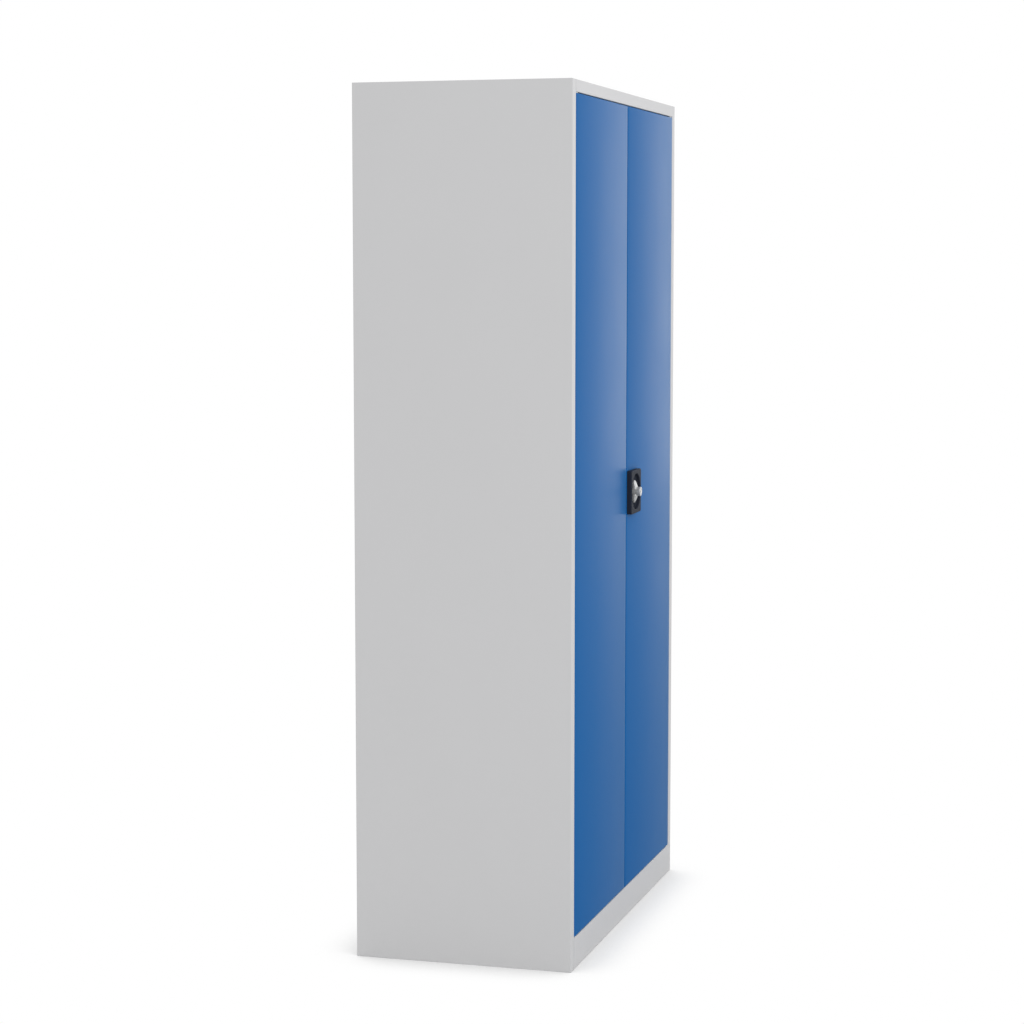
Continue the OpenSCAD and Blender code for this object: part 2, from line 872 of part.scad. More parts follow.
// Half the angle that a tooth fills on the pitch circle, and at radius r.
half_tooth_pitch = 90 * (1 - backlash / tooth_pitch) / teeth;
function half_tooth(r) =
    half_tooth_pitch + involute(pressure_angle) - involute(acos(min(1, base_r / r)));

module pinion() {
    flank = [for (i = [0:4]) base_r + (tip_r - base_r) * i / 4];
    rising = concat([[root_r, -half_tooth(base_r)]], [for (r = flank) [r, -half_tooth(r)]]);
    falling = [for (i = [len(rising) - 1:-1:0]) [rising[i][0], -rising[i][1]]];
    outline = [for (k = [0:teeth - 1]) for (p = concat(rising, falling))
        p[0] * [cos(p[1] + 360 * k / teeth), sin(p[1] + 360 * k / teeth)]];
    color(zinc) at_lock() difference() {
        union() {
            facing(rod_depth - pinion_t / 2, rod_depth + pinion_t / 2) polygon(outline);
            rod_back(journal_r, hub_back, hook_front);
        }
        facing(0, hook_front + over) square(spindle_w + 2 * running, center = true);
    }
}

module side_hook() {
    color(zinc) at_lock() difference() {
        facing(hook_front, hook_back) {
            circle(d = hook_w + 2 * hook_boss);
            translate([-hook_w / 2, 0]) square([hook_w, hook_l - hook_w / 2]);
            translate([0, hook_l - hook_w / 2]) circle(d = hook_w);
        }
        facing(0, hook_back + over) square(spindle_w + 2 * running, center = true);
    }
}

// A rod with its rack, thrown towards +Z. It ends at the height of the cap's face.
module rack_and_rod(end) {
    half_gap = tooth_pitch / 4 - backlash / 4;
    slope = tan(pressure_angle);
    tip_half = half_gap - (pitch_r - rack_tip) * slope;
    root_half = half_gap + (rack_root - pitch_r) * slope;
    rack_side = [for (k = [mesh_teeth - 1:-1:-throw_teeth - mesh_teeth])
        let (z = (k + 0.5) * tooth_pitch)
        each [
            [rack_root, z + root_half], [rack_tip, z + tip_half],
            [rack_tip, z - tip_half], [rack_root, z - root_half]
        ]
    ];
    facing(rod_depth - rack_t / 2, rod_depth + rack_t / 2) polygon(concat(
        [[rack_out, rack_low], [rack_out, rack_high], [rack_root, rack_high]],
        rack_side,
        [[rack_root, rack_low]]
    ));
    rod_up(rod_r, rack_high - rod_lap, end - tip_cover, rod_x, rod_depth);
}

// The plastic cap on a rod's end, with a chamfered nose.
module rod_tip(end) {
    difference() {
        union() {
            rod_up(tip_d / 2, end - tip_len, end - tip_nose, rod_x, rod_depth);
            translate([rod_x, rod_depth, end - tip_nose])
                cylinder(r1 = tip_d / 2, r2 = tip_d / 2 - tip_taper, h = tip_nose);
        }
        rod_up(rod_r + running, end - tip_len - over, end - tip_cover, rod_x, rod_depth);
    }
}

module upper_rod() {
    color(zinc) at_lock() rack_and_rod(upper_end);
}

module upper_rod_tip() {
    color(black) at_lock() rod_tip(upper_end);
}

module lower_rod() {
    color(zinc) at_lock() rotate([0, 180, 0]) rack_and_rod(lower_end);
}

module lower_rod_tip() {
    color(black) at_lock() rotate([0, 180, 0]) rod_tip(lower_end);
}

left_side();
right_side();
back_panel();
top_panel();
floor_panel();
plinth();
top_stop_rail();
floor_stiffener();
front_left_upright();
front_right_upright();
rear_left_upright();
rear_right_upright();
shelf(1);  // shelf_1
shelf(2);  // shelf_2
shelf(3);  // shelf_3
shelf(4);  // shelf_4
shelf_clips(1);  // shelf_1_clips
shelf_clips(2);  // shelf_2_clips
shelf_clips(3);  // shelf_3_clips
shelf_clips(4);  // shelf_4_clips
frame_pivot_plates();
left_pivot_pins();
right_pivot_pins();
strike_bushes();
door_buffers();
left_door_panel();
left_door_stiffener();
left_door_corner_plates();
left_door_bushes();
left_door_keeper();
right_door_panel();
right_door_stiffener();
right_door_corner_plates();
right_door_bushes();
rod_guides();
lock_case();
lock_cover();
cover_screws();
escutcheon();
escutcheon_screws();
wing_handle();
lock_barrel();
spindle();
pinion();
side_hook();
spindle_screw();
key_plug();
plug_cam();
upper_rod();
upper_rod_tip();
lower_rod();
lower_rod_tip();
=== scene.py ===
# %% [markdown]
# # A tool cabinet in powder-coated sheet steel
#
# The object is a tall two-door cabinet: a light grey folded carcass, two blue doors set flush
# in its front, and a black plate with a silver wing handle on the right door. The solid parts
# come in as a fixed frame, already in place and in metres. This lesson dresses them: it
# remodels what the eye rests on (doors, plate, handle, lock, screws), gives every surface its
# real finish, and sets up a plain white studio and the camera.

# %% Load the frame
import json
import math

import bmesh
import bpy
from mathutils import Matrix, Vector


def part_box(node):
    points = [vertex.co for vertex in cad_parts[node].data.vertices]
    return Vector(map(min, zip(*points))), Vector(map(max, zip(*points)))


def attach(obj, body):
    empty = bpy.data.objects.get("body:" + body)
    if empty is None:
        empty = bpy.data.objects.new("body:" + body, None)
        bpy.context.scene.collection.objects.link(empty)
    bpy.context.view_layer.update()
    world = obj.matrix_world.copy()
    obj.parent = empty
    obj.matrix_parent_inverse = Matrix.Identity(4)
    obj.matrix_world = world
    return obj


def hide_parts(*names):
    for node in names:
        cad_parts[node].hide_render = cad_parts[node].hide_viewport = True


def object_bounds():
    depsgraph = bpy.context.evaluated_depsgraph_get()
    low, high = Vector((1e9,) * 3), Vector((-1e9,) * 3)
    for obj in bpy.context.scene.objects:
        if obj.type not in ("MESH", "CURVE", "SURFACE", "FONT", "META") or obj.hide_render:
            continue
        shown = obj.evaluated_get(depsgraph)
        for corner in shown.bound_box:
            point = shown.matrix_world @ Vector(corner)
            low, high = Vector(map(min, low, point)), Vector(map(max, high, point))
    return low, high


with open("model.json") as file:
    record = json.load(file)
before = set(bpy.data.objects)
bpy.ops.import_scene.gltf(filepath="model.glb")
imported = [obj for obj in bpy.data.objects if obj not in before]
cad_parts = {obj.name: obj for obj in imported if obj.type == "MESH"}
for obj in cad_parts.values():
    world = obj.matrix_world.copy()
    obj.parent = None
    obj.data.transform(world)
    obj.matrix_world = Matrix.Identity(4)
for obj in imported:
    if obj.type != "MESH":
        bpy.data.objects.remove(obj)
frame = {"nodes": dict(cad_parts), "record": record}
cad_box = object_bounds()

# %% [markdown]
# ## Units and margins
#
# Lengths are in metres, so a millimetre is a named value. Two places less than a hair apart count
# as one, points less than a tenth of that apart are merged, and an edge counts as sharp where its
# faces turn by more than 30 degrees.

MM = 0.001
HAIR = 0.01 * MM
MERGE = 0.001 * MM
TURN = math.radians(360)
SHARP = math.radians(30)

# %% [markdown]
# ## Where things are
#
# Nothing is placed by eye. The black plate lies on the right door, so its box gives the face of
# the doors and the axis that the handle turns about. The doors' own boxes give their edges.

# %% Places taken from the frame
plate_low, plate_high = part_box("escutcheon")
door_face = plate_high.y
lock_axis = Vector(((plate_low.x + plate_high.x) / 2, door_face, (plate_low.z + plate_high.z) / 2))
left_low, left_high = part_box("left_door_panel")
door_middle = (abs(left_low.x) + abs(left_high.x)) / 2
door_half = (abs(left_low.x) - abs(left_high.x)) / 2
print("door face at y", round(door_face, 4), "handle axis at", [round(v, 4) for v in lock_axis])

# %% [markdown]
# ## Shader maths in plain Python
#
# A finish is a small calculation: how rough, how bright, how high at each point. Writing it as
# Python sums keeps it readable. A `Value` wraps one output of a node, and each operator on it
# adds the Math node that does the sum. Every other node comes from one method, `add`, which
# takes the node's type, its settings and what goes into its sockets.

# %% Values and nodes
class Value:
    """One output of a node. Arithmetic on it adds Math nodes."""

    def __init__(self, nodes, socket):
        self.nodes = nodes
        self.socket = socket

    def maths(self, operation, *terms):
        return self.nodes.add("ShaderNodeMath", {"operation": operation}, dict(enumerate(terms)))

    def __add__(self, other):
        return self.maths("ADD", self, other)

    __radd__ = __add__

    def __sub__(self, other):
        return self.maths("SUBTRACT", self, other)

    def __rsub__(self, other):
        return self.maths("SUBTRACT", other, self)

    def __mul__(self, other):
        return self.maths("MULTIPLY", self, other)

    __rmul__ = __mul__

    def __truediv__(self, other):
        return self.maths("DIVIDE", self, other)

    def __pow__(self, power):
        return self.maths("POWER", self, power)

    def __abs__(self):
        return self.maths("ABSOLUTE", self)

    def larger(self, other):
        return self.maths("MAXIMUM", self, other)

    def sine(self):
        return self.maths("SINE", self)

    def spread(self, low, high, new_low=0.0, new_high=1.0):
        """Stretches the range low to high over a new range, with soft ends."""
        ends = {"From Min": low, "From Max": high, "To Min": new_low, "To Max": new_high}
        soft = {"interpolation_type": "SMOOTHSTEP"}
        return self.nodes.add("ShaderNodeMapRange", soft, {"Value": self} | ends)


class Nodes:
    """Adds nodes to one node tree."""

    def __init__(self, tree):
        self.tree = tree
        tree.nodes.clear()

    def add(self, kind, settings=None, sockets=None, out=0):
        node = self.tree.nodes.new(kind)
        for name, setting in (settings or {}).items():
            setattr(node, name, setting)
        for name, value in (sockets or {}).items():
            if isinstance(value, Value):
                self.tree.links.new(value.socket, node.inputs[name])
            else:
                node.inputs[name].default_value = value
        return Value(self, node.outputs[out]) if node.outputs else node

    def place(self):
        """Object coordinates: metres in the object's own frame, so a pattern moves with its piece."""
        return self.add("ShaderNodeTexCoord", out="Object")

    def stretched(self, place, scale, centre=(0, 0, 0)):
        """The same coordinates about another centre, stretched along each axis."""
        about = self.add("ShaderNodeVectorMath", {"operation": "SUBTRACT"}, {0: place, 1: centre})
        return self.add("ShaderNodeMapping", None, {"Vector": about, "Scale": scale})

    def noise(self, place, per_metre, detail=2.0):
        sockets = {"Vector": place, "Scale": per_metre, "Detail": detail}
        return self.add("ShaderNodeTexNoise", None, sockets, "Fac")

    def mix_colour(self, first, second, factor):
        return self.add("ShaderNodeMix", {"data_type": "RGBA"}, {0: factor, 6: first, 7: second}, 2)

    def bump(self, height, rise, normal=None):
        """Raises the surface by rise, in metres, where height is 1."""
        sockets = {"Height": height, "Distance": rise, "Strength": 1.0}
        if normal:
            sockets["Normal"] = normal
        return self.add("ShaderNodeBump", None, sockets)


def surface(name, build, **constant):
    """A material whose principled shader takes constant values, and what build(nodes) returns."""
    material = bpy.data.materials.new(name)
    material.use_nodes = True
    nodes = Nodes(material.node_tree)
    sockets = {key.replace("_", " "): value for key, value in constant.items()}
    shader = nodes.add("ShaderNodeBsdfPrincipled", None, sockets | build(nodes))
    nodes.add("ShaderNodeOutputMaterial", None, {"Surface": shader})
    print("finish:", name)
    return material


def linear(red, green, blue):
    """The shader's value for a colour written as 0 to 255 a channel, as a picture shows it."""
    channels = [c / 255 for c in (red, green, blue)]
    return [c / 12.92 if c < 0.04045 else ((c + 0.055) / 1.055) ** 2.4 for c in channels] + [1.0]


def lighter(colour, share):
    """The colour with a share of itself added, or taken away where the share is negative."""
    return [min(1.0, c * (1 + share)) for c in colour[:3]] + [1.0]

# %% [markdown]
# ## Powder coat
#
# The steel is sprayed with dry paint powder and baked. The film flows out to a soft satin skin
# with a very fine orange peel, and the powder gives it a slight fleck and a cloudiness that you
# only see close up. So: a base colour that drifts by about a hundredth, roughness that drifts
# with it, and a bump a few thousandths of a millimetre high. A low index of refraction keeps the
# gloss weak from in front and lets it grow at a glancing angle.
#
# The doors also spring. A door skin half a metre wide is held stiff at its folded edges and
# bellies out slightly between them. That is why a real door, seen at a glancing angle, goes
# from dark to light across its width and starts again on the next door. The belly is a wide,
# shallow curve in the height: highest in the middle of the door and zero at its edges. A thin
# bluish sheen stands for the haze that the finest grains of the coat show at such an angle.

# %% Paint
CLOUDS_PER_METRE = 5
CLOUD_TINT = 0.012
CLOUD_ROUGHNESS = 0.08
FLECKS_PER_METRE = 2400
FLECK_RANGE = (0.62, 0.8)
FLECK_TINT = 0.05
FLECK_SHARE = 0.5
PEEL_PER_METRE = 650
PEEL_RISE = 0.004 * MM
BELLY_RISE = 10.5 * MM
HAZE_ROUGHNESS = 0.3
HAZE_TINT = (0.68, 0.9, 1.0, 1.0)


def powder_coat(name, colour, roughness, ior, belly=0.0, haze=0.0):
    def build(nodes):
        place = nodes.place()
        cloud = nodes.noise(place, CLOUDS_PER_METRE, 3.0)
        fleck = nodes.noise(place, FLECKS_PER_METRE, 1.0)
        tone = nodes.mix_colour(lighter(colour, -CLOUD_TINT), lighter(colour, CLOUD_TINT), cloud)
        tone = nodes.mix_colour(tone, lighter(colour, FLECK_TINT), fleck.spread(*FLECK_RANGE) * FLECK_SHARE)
        normal = None
        if belly:
            across = nodes.add("ShaderNodeSeparateXYZ", None, {"Vector": place}, "X")
            from_middle = (abs(across) - door_middle) / door_half
            normal = nodes.bump(1 - from_middle ** 2, belly)
        peel = nodes.noise(place, PEEL_PER_METRE)
        normal = nodes.bump(peel, PEEL_RISE, normal)
        return {
            "Base Color": tone,
            "Roughness": (cloud - 0.5) * CLOUD_ROUGHNESS + roughness,
            "Normal": normal,
        }

    sheen = {"Sheen_Weight": haze, "Sheen_Roughness": HAZE_ROUGHNESS, "Sheen_Tint": HAZE_TINT}
    return surface(name, build, IOR=ior, **sheen)


GREY = linear(202, 202, 203)
BLUE = linear(17, 93, 157)
grey_paint = powder_coat("grey_powder_coat", GREY, roughness=0.45, ior=1.1)
blue_paint = powder_coat("blue_powder_coat", BLUE, roughness=0.31, ior=1.074, belly=BELLY_RISE, haze=0.13)

# %% [markdown]
# ## Metals
#
# Bright zinc plating is a bluish silver with a faint grain of drawing lines along the rods and a
# cloudy roughness. The wing handle is a zinc casting, tumbled and plated to a satin silver. The
# lock cylinder is turned and nickel-plated, and its turning marks are rings about its own axis,
# so its pattern is centred there and read as a distance from the axis.

# %% Zinc, cast silver and turned nickel
ZINC_CLOUDS_PER_METRE = 45
LINES_PER_METRE = 2600
LINE_STRETCH = (1, 1, 0.02)
LINE_RISE = 0.002 * MM
CAST_CLOUDS_PER_METRE = 160
PITS_PER_METRE = 2200
PIT_RISE = 0.004 * MM
SMUDGES_PER_METRE = 300
RING_PITCH = 0.35 * MM
RING_RISE = 0.0015 * MM
PLUG_UP = 3.2 * MM
plug_axis = lock_axis + Vector((0, 0, PLUG_UP))


def zinc_plating(nodes):
    place = nodes.place()
    cloud = nodes.noise(place, ZINC_CLOUDS_PER_METRE, 4.0)
    lines = nodes.noise(nodes.stretched(place, LINE_STRETCH), LINES_PER_METRE)
    tone = nodes.mix_colour(linear(196, 200, 206), linear(222, 223, 222), cloud)
    return {
        "Base Color": tone,
        "Roughness": cloud * 0.2 + lines * 0.1 + 0.2,
        "Normal": nodes.bump(lines, LINE_RISE),
    }


def cast_silver(nodes):
    place = nodes.place()
    cloud = nodes.noise(place, CAST_CLOUDS_PER_METRE, 3.0)
    pits = nodes.noise(place, PITS_PER_METRE)
    return {
        "Base Color": nodes.mix_colour(linear(190, 192, 195), linear(208, 208, 207), cloud),
        "Roughness": cloud * 0.14 + 0.28,
        "Normal": nodes.bump(pits, PIT_RISE),
    }


def turned_nickel(nodes):
    about = nodes.stretched(nodes.place(), (1, 0, 1), plug_axis)
    radius = nodes.add("ShaderNodeVectorMath", {"operation": "LENGTH"}, {0: about}, "Value")
    rings = (radius * (TURN / RING_PITCH)).sine()
    smudge = nodes.noise(nodes.place(), SMUDGES_PER_METRE, 3.0)
    return {
        "Base Color": nodes.mix_colour(linear(226, 224, 218), linear(240, 239, 236), smudge),
        "Roughness": smudge * 0.12 + 0.12,
        "Normal": nodes.bump(rings, RING_RISE),
    }


zinc = surface("bright_zinc", zinc_plating, Metallic=1.0)
silver = surface("satin_silver_casting", cast_silver, Metallic=0.5)
nickel = surface("turned_nickel", turned_nickel, Metallic=1.0)

# %% [markdown]
# ## Plastics and rubber
#
# The handle plate is moulded black plastic with a fine spark-eroded texture. The pivot bushes
# are natural nylon, slightly waxy. The door buffers are soft black rubber, which is rougher
# and a little grey with dust.

# %% Moulded parts
MOULD_CLOUDS_PER_METRE = 60
DARKER = -0.1
LIGHTER = 0.15


def moulded(colour, roughness, texture_per_metre, texture_rise):
    def build(nodes):
        place = nodes.place()
        cloud = nodes.noise(place, MOULD_CLOUDS_PER_METRE, 3.0)
        texture = nodes.noise(place, texture_per_metre)
        return {
            "Base Color": nodes.mix_colour(lighter(colour, DARKER), lighter(colour, LIGHTER), cloud),
            "Roughness": cloud * 0.1 + roughness,
            "Normal": nodes.bump(texture, texture_rise),
        }

    return build


black_plastic = surface("black_moulding", moulded(linear(42, 46, 56), 0.4, 1800, 0.01 * MM), IOR=1.08)
nylon = surface("natural_nylon", moulded(linear(226, 224, 214), 0.42, 900, 0.004 * MM))
rubber = surface("black_rubber", moulded(linear(40, 40, 41), 0.7, 1200, 0.02 * MM))

# %% [markdown]
# ## Dressing the parts that stay
#
# The record says which finish each part has. One table turns the record's names into the
# materials made above, and a loop gives every part its own. The parts that are remodelled below
# take theirs from the same table.

# %% Finishes by slot
FINISHES = {
    "grey_paint": grey_paint,
    "blue_paint": blue_paint,
    "zinc_steel": zinc,
    "black_plastic": black_plastic,
    "white_nylon": nylon,
    "black_rubber": rubber,
    "silver_handle": silver,
    "chrome_lock": nickel,
}

for part in frame["record"]["subparts"]:
    for slot in frame["nodes"][part["node"]].material_slots:
        slot.material = FINISHES[part["material_slot"]]

# %% [markdown]
# ## Tools for modelling
#
# Most pieces here start as a box or as a turned outline, get round edges, and lose some holes.
# `turned` spins an outline about the Y axis, which is square to the doors' face, and `disc` is its
# simplest case, a round bar. `round_edges` bevels the sharp edges, or those that a test picks.
# `carve` takes one shape away from another. `finish_piece` hands the mesh over: it gives it its
# finish, lets it ride on its body and hides the solid parts that it stands for.

# %% Modelling helpers
def box_mesh(low, high):
    bm = bmesh.new()
    bmesh.ops.create_cube(bm, size=1)
    bmesh.ops.scale(bm, vec=Vector(high) - Vector(low), verts=bm.verts)
    bmesh.ops.translate(bm, vec=(Vector(high) + Vector(low)) / 2, verts=bm.verts)
    return bm


def turned(outline, closed=False, steps=64):
    """Spins an outline of (radius, distance out of the door) points about the Y axis."""
    bm = bmesh.new()
    verts = [bm.verts.new((radius, -out, 0)) for radius, out in outline]
    pairs = list(zip(verts, verts[1:])) + ([(verts[-1], verts[0])] if closed else [])
    edges = [bm.edges.new(pair) for pair in pairs]
    bmesh.ops.spin(bm, geom=verts + edges, cent=(0, 0, 0), axis=(0, 1, 0), angle=TURN, steps=steps,
                   use_merge=True, use_duplicate=False)
    bmesh.ops.remove_doubles(bm, verts=bm.verts, dist=MERGE)
    bmesh.ops.dissolve_degenerate(bm, edges=bm.edges, dist=MERGE / 2)
    bmesh.ops.recalc_face_normals(bm, faces=bm.faces)
    return bm


def disc(radius, front, back):
    """A plain round bar about the Y axis, from one distance out of the door to another."""
    return turned([(0, front), (radius, front), (radius, back), (0, back)])


def round_edges(bm, radius, segments=3, where=lambda edge: True, clamp=True):
    """Bevels the sharp edges that pass a test. Without clamp, short edges don't limit the radius."""
    sharp = [e for e in bm.edges if e.is_manifold and e.calc_face_angle() > SHARP and where(e)]
    bmesh.ops.bevel(bm, geom=sharp, offset=radius, affect="EDGES", segments=segments, profile=0.5,
                    material=-1, clamp_overlap=clamp)
    return bm


def is_upright_corner(edge):
    """True for the edges that run out of the doors' face."""
    run = edge.verts[1].co - edge.verts[0].co
    return abs(run.y) > MM


def rim_at(y):
    """A test for the edges that lie in the front face at y."""
    return lambda edge: all(vert.co.y < y + HAIR for vert in edge.verts)


def moved(bm, place):
    bmesh.ops.translate(bm, vec=place, verts=bm.verts)
    return bm


def new_object(name, bm):
    mesh = bpy.data.meshes.new(name)
    bm.to_mesh(mesh)
    bm.free()
    thing = bpy.data.objects.new(name, mesh)
    bpy.context.scene.collection.objects.link(thing)
    return thing


def settle(thing):
    """Makes the modifiers part of the mesh."""
    bpy.context.view_layer.update()
    worked = thing.evaluated_get(bpy.context.evaluated_depsgraph_get())
    mesh = bpy.data.meshes.new_from_object(worked)
    thing.modifiers.clear()
    thing.data = mesh


def carve(thing, tool, operation="DIFFERENCE"):
    """Takes the tool's shape away from a thing, or joins the two."""
    cutter = new_object("tool", tool)
    cut = thing.modifiers.new("carve", "BOOLEAN")
    cut.operation = operation
    cut.solver = "EXACT"
    cut.object = cutter
    settle(thing)
    bpy.data.objects.remove(cutter)


def finish_piece(thing, body, slot, *nodes):
    thing.data.materials.clear()
    thing.data.materials.append(FINISHES[slot])
    thing.data.shade_smooth()
    thing.data.set_sharp_from_angle(angle=SHARP)
    flat = thing.modifiers.new("keep flats flat", "WEIGHTED_NORMAL")
    flat.keep_sharp = True
    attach(thing, body)
    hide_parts(*nodes)
    print(thing.name, "has", len(thing.data.polygons), "faces")
    return thing

# %% [markdown]
# ## The doors
#
# A door is one sheet folded into a shallow pan: a face, four sides and a lip turned in round
# the back. It can be made as a press brake makes it. A box gets the round outer edges of the
# folds. Its back face is inset by the width of the lip and the middle is taken out, which
# leaves a skin without thickness. Fine cuts across the face let it belly out a little, and
# Solidify then gives the steel its thickness, inwards. The holes come last: for the bushes,
# the rods and the hub.

# %% Door pans
SHEET = 0.8 * MM
FOLD_RADIUS = 1.8 * MM
LIP = 12 * MM
FACE_RISE = 0.8 * MM
FACE_CUTS = 24
COLLAR_LEDGE = 0.9 * MM
BUSH_PLAY = 0.05 * MM
CAP_PLAY = 1.5 * MM
HUB_PLAY = 0.3 * MM


def folded_pan(low, high):
    bm = box_mesh(low, high)
    round_edges(bm, FOLD_RADIUS, 5)
    back = [face for face in bm.faces if face.normal.y > 0.99]
    bmesh.ops.inset_region(bm, faces=back, thickness=LIP - FOLD_RADIUS)
    bmesh.ops.delete(bm, geom=back, context="FACES")
    return bm


def belly_out(bm, low, high):
    """Cuts the face into strips and lifts them into a wide shallow curve."""
    size = high - low
    for axis, normal in ((0, (1, 0, 0)), (2, (0, 0, 1))):
        for step in range(1, FACE_CUTS):
            cut = low.copy()
            cut[axis] += FOLD_RADIUS + (size[axis] - 2 * FOLD_RADIUS) * step / FACE_CUTS
            face = [f for f in bm.faces if f.normal.y < -0.99]
            parts = face + list({e for f in face for e in f.edges} | {v for f in face for v in f.verts})
            bmesh.ops.bisect_plane(bm, geom=parts, plane_co=cut, plane_no=normal)
    middle = (low + high) / 2
    reach = size / 2 - Vector((FOLD_RADIUS, 0, FOLD_RADIUS))
    for vert in bm.verts:
        if vert.co.y < low.y + HAIR:
            across = (vert.co.x - middle.x) / reach.x
            along = (vert.co.z - middle.z) / reach.z
            vert.co.y -= FACE_RISE * max(0, 1 - across ** 2) * max(0, 1 - along ** 6)


def upright_bar(radius, x, y, z_low, z_high):
    """A round bar along Z, to cut a hole with."""
    bm = bmesh.new()
    bmesh.ops.create_cone(bm, cap_ends=True, segments=48, radius1=radius, radius2=radius,
                          depth=z_high - z_low)
    return moved(bm, Vector((x, y, (z_low + z_high) / 2)))


def door(side):
    low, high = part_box(side + "_door_panel")
    bm = folded_pan(low, high)
    belly_out(bm, low, high)
    pan = new_object(side + "_door_pan", bm)
    steel = pan.modifiers.new("steel", "SOLIDIFY")
    steel.thickness = SHEET
    steel.offset = -1
    steel.use_even_offset = True
    settle(pan)
    pin_low, pin_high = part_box(side + "_pivot_pins")
    bush_low, bush_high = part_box(side + "_door_bushes")
    pin = (pin_low + pin_high) / 2
    bush = (bush_high.x - bush_low.x) / 2 - COLLAR_LEDGE + BUSH_PLAY
    carve(pan, upright_bar(bush, pin.x, pin.y, low.z - LIP, high.z + LIP))
    return pan


def rod_hole(pan, rod, z):
    """The hole in a door's edge that a rod's cap slides through."""
    low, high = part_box(rod + "_tip")
    middle = (low + high) / 2
    carve(pan, upright_bar((high.x - low.x) / 2 + CAP_PLAY, middle.x, middle.y, z - LIP / 4, z + LIP / 4))


left_pan = door("left")
right_pan = door("right")
rod_hole(right_pan, "upper_rod", left_high.z)
rod_hole(right_pan, "lower_rod", left_low.z)
hub_low, hub_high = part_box("wing_handle")
hub_radius = (hub_high.x - hub_low.x) / 2
carve(right_pan, moved(disc(hub_radius + HUB_PLAY, LIP / 2, -LIP / 2), lock_axis))
finish_piece(left_pan, "left_door", "blue_paint", "left_door_panel")
finish_piece(right_pan, "right_door", "blue_paint", "right_door_panel")

# %% [markdown]
# ## The black plate
#
# The plate is a moulded block with soft edges and a round dish, so that fingers get behind the
# wings. The block is a box whose four corners are bevelled first, and then its front rim. The
# dish is the negative of a turned tool: its outline already holds the rolled lip at the top and
# the fillet at the bottom, which no bevel could add as cleanly after the cut. Under the floor of
# the dish there is a pocket at each of the handle's two places, which the lug of the lock enters.

# %% Plate
PLATE_CORNER = 6 * MM
PLATE_RIM = 2.2 * MM
DISH_RADIUS = 42 * MM
DISH_LIP = 2 * MM
DISH_FLOOR = 4 * MM
DISH_FILLET = 3 * MM
LUG_PLAY = 0.3 * MM


def arc(centre, radius, start, end, steps=6):
    """Points of an arc in the outline's plane, with its angles in degrees."""
    angles = [math.radians(start + (end - start) * i / steps) for i in range(steps + 1)]
    return [(centre[0] + radius * math.cos(a), centre[1] + radius * math.sin(a)) for a in angles]


def dish_tool(plate_front):
    hub = hub_radius + HUB_PLAY
    lip = arc((DISH_RADIUS + DISH_LIP, plate_front - DISH_LIP), DISH_LIP, 90, 180)
    fillet = arc((DISH_RADIUS - DISH_FILLET, DISH_FLOOR + DISH_FILLET), DISH_FILLET, 0, -90)
    above = plate_front + 5 * MM
    below = -5 * MM
    outline = [(0, above), (DISH_RADIUS + DISH_LIP, above)] + lip + fillet
    return turned(outline + [(hub, DISH_FLOOR), (hub, below), (0, below)], steps=96)


def lug_room(play):
    """The space that the lug behind the key plug needs to turn in, about the plug's own axis."""
    front = door_face - cam_low.y + LUG_PLAY
    back = door_face - cam_high.y - LUG_PLAY
    return disc(cam_high.x - plug_axis.x + play, front, back)


cam_low, cam_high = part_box("plug_cam")
plate_bm = box_mesh(plate_low, plate_high)
round_edges(plate_bm, PLATE_CORNER, 8, is_upright_corner)
round_edges(plate_bm, PLATE_RIM, 6, rim_at(plate_low.y))
plate = new_object("black_plate", plate_bm)
carve(plate, moved(dish_tool(door_face - plate_low.y), lock_axis))
for aside in (Vector((0, 0, PLUG_UP)), Vector((-PLUG_UP, 0, 0))):
    carve(plate, moved(lug_room(2 * LUG_PLAY), lock_axis + aside))
finish_piece(plate, "right_door", "black_plastic", "escutcheon")

# %% [markdown]
# ## The wing handle
#
# The handle is one casting: two wings and a round hub. The wings are one bar with round ends and
# a pillowed front, and past the hub its depth shrinks towards the tips. Cast metal has no sharp
# corners inside or out. A voxel remesh melts the wings and the hub into one skin, and a few rounds
# of smoothing draw the fillets. The bores for the lock and the square hole for the spindle are
# machined after casting, so they are cut last and stay crisp.

# %% Handle casting
WING_HALF = 27 * MM
WING_WIDTH = 20 * MM
WING_FRONT_HALF = 10 * MM
WING_BACK = 4.6 * MM
WING_FRONT = 14 * MM
WING_TIP = 8.6 * MM
WING_ROUND = 4.5 * MM
HUB_CHAMFER = 0.8 * MM
BEZEL = 0.8 * MM
BARREL_RADIUS = 6 * MM
PLUG_RADIUS = 4.6 * MM
CASTING_VOXEL = 0.4 * MM

hub_front = door_face - hub_low.y
hub_back = door_face - hub_high.y


def wings():
    """A bar with round ends and a pillowed front, whose depth shrinks towards the tips."""
    half = WING_WIDTH / 2
    depth = WING_FRONT - WING_BACK
    bm = box_mesh((-half, -WING_FRONT, -WING_HALF), (half, -WING_BACK, WING_HALF))
    round_edges(bm, half - HAIR, 12, is_upright_corner)
    round_edges(bm, WING_ROUND, 6, rim_at(-WING_FRONT), clamp=False)
    for z in (-WING_FRONT_HALF, WING_FRONT_HALF):
        everything = list(bm.verts) + list(bm.edges) + list(bm.faces)
        bmesh.ops.bisect_plane(bm, geom=everything, plane_co=(0, 0, z), plane_no=(0, 0, 1))
    taper = (WING_FRONT - WING_TIP) / depth / (WING_HALF - WING_FRONT_HALF)
    for vert in bm.verts:
        past = max(0, abs(vert.co.z) - WING_FRONT_HALF)
        vert.co.y = (vert.co.y + WING_BACK) * (1 - past * taper) - WING_BACK
    return bm


